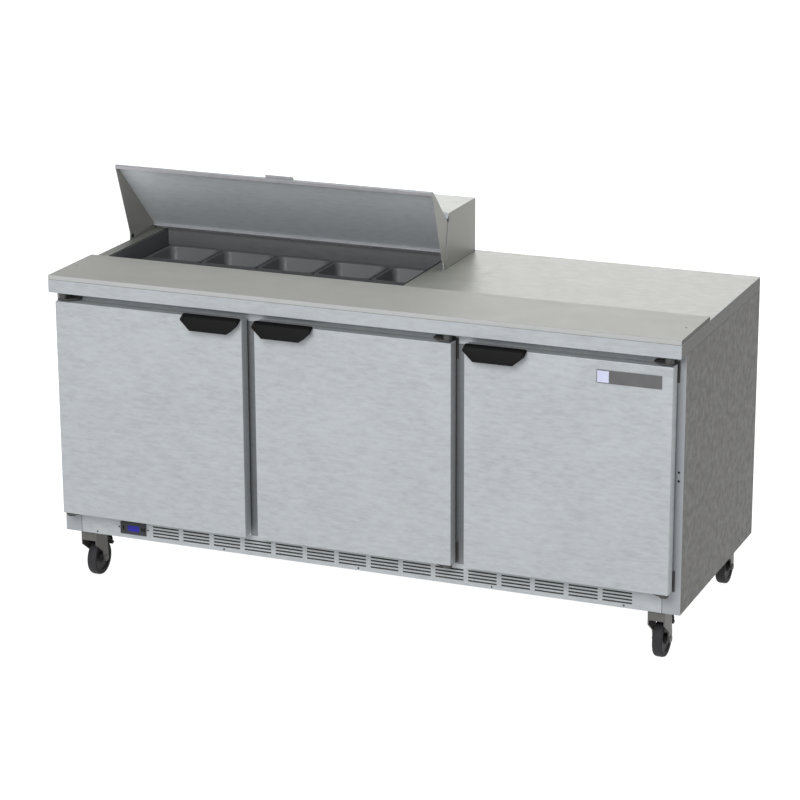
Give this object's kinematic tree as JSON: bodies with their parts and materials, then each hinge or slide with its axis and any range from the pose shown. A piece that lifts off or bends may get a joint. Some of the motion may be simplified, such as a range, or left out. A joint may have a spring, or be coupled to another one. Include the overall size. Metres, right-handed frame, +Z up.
{
  "type": "refrigerated sandwich prep table",
  "caption": "Stainless refrigerated sandwich prep table with doors, a full-width cutting board, lift-out food pans under a hinged lid, and swivel casters.",
  "frame": {"origin": "middle of the footprint on the floor, between the front of the door pulls and the back of the rear wheels", "axes": "+X to the cabinet's right as seen from the doors, +Y from the doors to the back, +Z up"},
  "size_m": [1.8288, 0.7916, 1.1471],
  "materials": {
    "brushed_steel": "brushed",
    "inner_steel": "satin",
    "pan_steel": "satin",
    "dark_steel": "satin",
    "coil_metal": "satin",
    "shelf_coat": "satin",
    "board_white": "matte",
    "black_plastic": "matte",
    "controller_grey": "gloss",
    "gasket_rubber": "matte",
    "wheel_grey": "matte",
    "badge_grey": "gloss"
  },
  "bodies": {
    "cabinet": {"side_panel_left": "brushed_steel", "side_panel_right": "brushed_steel", "face_frame": "brushed_steel", "worktop": "brushed_steel", "kick_panel": "brushed_steel", "hood": "brushed_steel", "back_panel": "inner_steel", "base": "inner_steel", "pan_frame": "inner_steel", "pan_bar": "inner_steel", "controller": "controller_grey", "hinge_bracket_top_1": "dark_steel", "hinge_bracket_top_2": "dark_steel", "hinge_bracket_top_3": "dark_steel", "hinge_bracket_bottom_1": "dark_steel", "hinge_bracket_bottom_2": "dark_steel", "hinge_bracket_bottom_3": "dark_steel", "compressor": "dark_steel", "condenser_coil": "coil_metal", "evaporator_coil": "coil_metal", "shelf_1": "shelf_coat", "shelf_2": "shelf_coat", "shelf_3": "shelf_coat"},
    "door_body_1": {"door_1": "brushed_steel", "door_gasket_1": "gasket_rubber", "door_handle_1": "black_plastic"},
    "door_body_2": {"door_2": "brushed_steel", "door_gasket_2": "gasket_rubber", "door_handle_2": "black_plastic"},
    "door_body_3": {"door_3": "brushed_steel", "door_gasket_3": "gasket_rubber", "door_handle_3": "black_plastic", "badge_plate": "badge_grey"},
    "lid_body": {"lid": "brushed_steel", "lid_pull": "brushed_steel", "lid_pin_left": "brushed_steel", "lid_pin_right": "brushed_steel"},
    "board_body": {"cutting_board": "board_white"},
    "pan_body_back_1": {"pan_back_1": "pan_steel"},
    "pan_body_back_2": {"pan_back_2": "pan_steel"},
    "pan_body_back_3": {"pan_back_3": "pan_steel"},
    "pan_body_back_4": {"pan_back_4": "pan_steel"},
    "pan_body_back_5": {"pan_back_5": "pan_steel"},
    "pan_body_front_1": {"pan_front_1": "pan_steel"},
    "pan_body_front_2": {"pan_front_2": "pan_steel"},
    "pan_body_front_3": {"pan_front_3": "pan_steel"},
    "pan_body_front_4": {"pan_front_4": "pan_steel"},
    "pan_body_front_5": {"pan_front_5": "pan_steel"},
    "fork_body_front_left": {"caster_fork_front_left": "dark_steel"},
    "wheel_body_front_left": {"caster_wheel_front_left": "wheel_grey"},
    "brake_body_front_left": {"brake_pedal_front_left": "black_plastic"},
    "fork_body_front_right": {"caster_fork_front_right": "dark_steel"},
    "wheel_body_front_right": {"caster_wheel_front_right": "wheel_grey"},
    "brake_body_front_right": {"brake_pedal_front_right": "black_plastic"},
    "fork_body_rear_left": {"caster_fork_rear_left": "dark_steel"},
    "wheel_body_rear_left": {"caster_wheel_rear_left": "wheel_grey"},
    "fork_body_rear_right": {"caster_fork_rear_right": "dark_steel"},
    "wheel_body_rear_right": {"caster_wheel_rear_right": "wheel_grey"},
    "condenser_fan_body": {"condenser_fan": "dark_steel"},
    "evaporator_fan_body": {"evaporator_fan": "dark_steel"}
  },
  "joints": [
    {"name": "door_1_hinge", "type": "hinge", "parent": "cabinet", "child": "door_body_1", "pos_m": [-0.878, -0.3489, 0.5], "axis": [0, 0, -1], "range_deg": [0, 105]},
    {"name": "door_2_hinge", "type": "hinge", "parent": "cabinet", "child": "door_body_2", "pos_m": [0.2695, -0.3489, 0.5], "axis": [0, 0, 1], "range_deg": [0, 105]},
    {"name": "door_3_hinge", "type": "hinge", "parent": "cabinet", "child": "door_body_3", "pos_m": [0.878, -0.3489, 0.5], "axis": [0, 0, 1], "range_deg": [0, 105]},
    {"name": "lid_hinge", "type": "hinge", "parent": "cabinet", "child": "lid_body", "pos_m": [-0.4209, 0.1306, 0.911], "axis": [-1, 0, 0], "range_deg": [-70, 0]},
    {"name": "board_lift", "type": "slide", "parent": "cabinet", "child": "board_body", "axis": [0, 0, 1], "range_m": [0, 0.1]},
    {"name": "pan_lift_back_1", "type": "slide", "parent": "cabinet", "child": "pan_body_back_1", "axis": [0, 0, 1], "range_m": [0, 0.055]},
    {"name": "pan_lift_back_2", "type": "slide", "parent": "cabinet", "child": "pan_body_back_2", "axis": [0, 0, 1], "range_m": [0, 0.055]},
    {"name": "pan_lift_back_3", "type": "slide", "parent": "cabinet", "child": "pan_body_back_3", "axis": [0, 0, 1], "range_m": [0, 0.055]},
    {"name": "pan_lift_back_4", "type": "slide", "parent": "cabinet", "child": "pan_body_back_4", "axis": [0, 0, 1], "range_m": [0, 0.055]},
    {"name": "pan_lift_back_5", "type": "slide", "parent": "cabinet", "child": "pan_body_back_5", "axis": [0, 0, 1], "range_m": [0, 0.055]},
    {"name": "pan_lift_front_1", "type": "slide", "parent": "cabinet", "child": "pan_body_front_1", "axis": [0, 0, 1], "range_m": [0, 0.12]},
    {"name": "pan_lift_front_2", "type": "slide", "parent": "cabinet", "child": "pan_body_front_2", "axis": [0, 0, 1], "range_m": [0, 0.12]},
    {"name": "pan_lift_front_3", "type": "slide", "parent": "cabinet", "child": "pan_body_front_3", "axis": [0, 0, 1], "range_m": [0, 0.12]},
    {"name": "pan_lift_front_4", "type": "slide", "parent": "cabinet", "child": "pan_body_front_4", "axis": [0, 0, 1], "range_m": [0, 0.12]},
    {"name": "pan_lift_front_5", "type": "slide", "parent": "cabinet", "child": "pan_body_front_5", "axis": [0, 0, 1], "range_m": [0, 0.12]},
    {"name": "swivel_front_left", "type": "hinge", "parent": "cabinet", "child": "fork_body_front_left", "pos_m": [-0.8474, -0.2829, 0.147], "axis": [0, 0, 1], "continuous": true},
    {"name": "wheel_spin_front_left", "type": "hinge", "parent": "fork_body_front_left", "child": "wheel_body_front_left", "pos_m": [-0.8474, -0.2529, 0.0508], "axis": [1, 0, 0], "continuous": true},
    {"name": "brake_front_left", "type": "hinge", "parent": "fork_body_front_left", "child": "brake_body_front_left", "pos_m": [-0.8474, -0.2589, 0.121], "axis": [-1, 0, 0], "range_deg": [0, 4.5]},
    {"name": "swivel_front_right", "type": "hinge", "parent": "cabinet", "child": "fork_body_front_right", "pos_m": [0.8474, -0.2829, 0.147], "axis": [0, 0, 1], "continuous": true},
    {"name": "wheel_spin_front_right", "type": "hinge", "parent": "fork_body_front_right", "child": "wheel_body_front_right", "pos_m": [0.8474, -0.2529, 0.0508], "axis": [1, 0, 0], "continuous": true},
    {"name": "brake_front_right", "type": "hinge", "parent": "fork_body_front_right", "child": "brake_body_front_right", "pos_m": [0.8474, -0.2589, 0.121], "axis": [-1, 0, 0], "range_deg": [0, 4.5]},
    {"name": "swivel_rear_left", "type": "hinge", "parent": "cabinet", "child": "fork_body_rear_left", "pos_m": [-0.8474, 0.3151, 0.147], "axis": [0, 0, 1], "continuous": true},
    {"name": "wheel_spin_rear_left", "type": "hinge", "parent": "fork_body_rear_left", "child": "wheel_body_rear_left", "pos_m": [-0.8474, 0.3451, 0.0508], "axis": [1, 0, 0], "continuous": true},
    {"name": "swivel_rear_right", "type": "hinge", "parent": "cabinet", "child": "fork_body_rear_right", "pos_m": [0.8474, 0.3151, 0.147], "axis": [0, 0, 1], "continuous": true},
    {"name": "wheel_spin_rear_right", "type": "hinge", "parent": "fork_body_rear_right", "child": "wheel_body_rear_right", "pos_m": [0.8474, 0.3451, 0.0508], "axis": [1, 0, 0], "continuous": true},
    {"name": "condenser_fan_spin", "type": "hinge", "parent": "cabinet", "child": "condenser_fan_body", "pos_m": [-0.2144, 0.1916, 0.262], "axis": [0, 1, 0], "continuous": true},
    {"name": "evaporator_fan_spin", "type": "hinge", "parent": "cabinet", "child": "evaporator_fan_body", "pos_m": [-0.0144, 0.2476, 0.648], "axis": [0, 1, 0], "continuous": true}
  ]
}
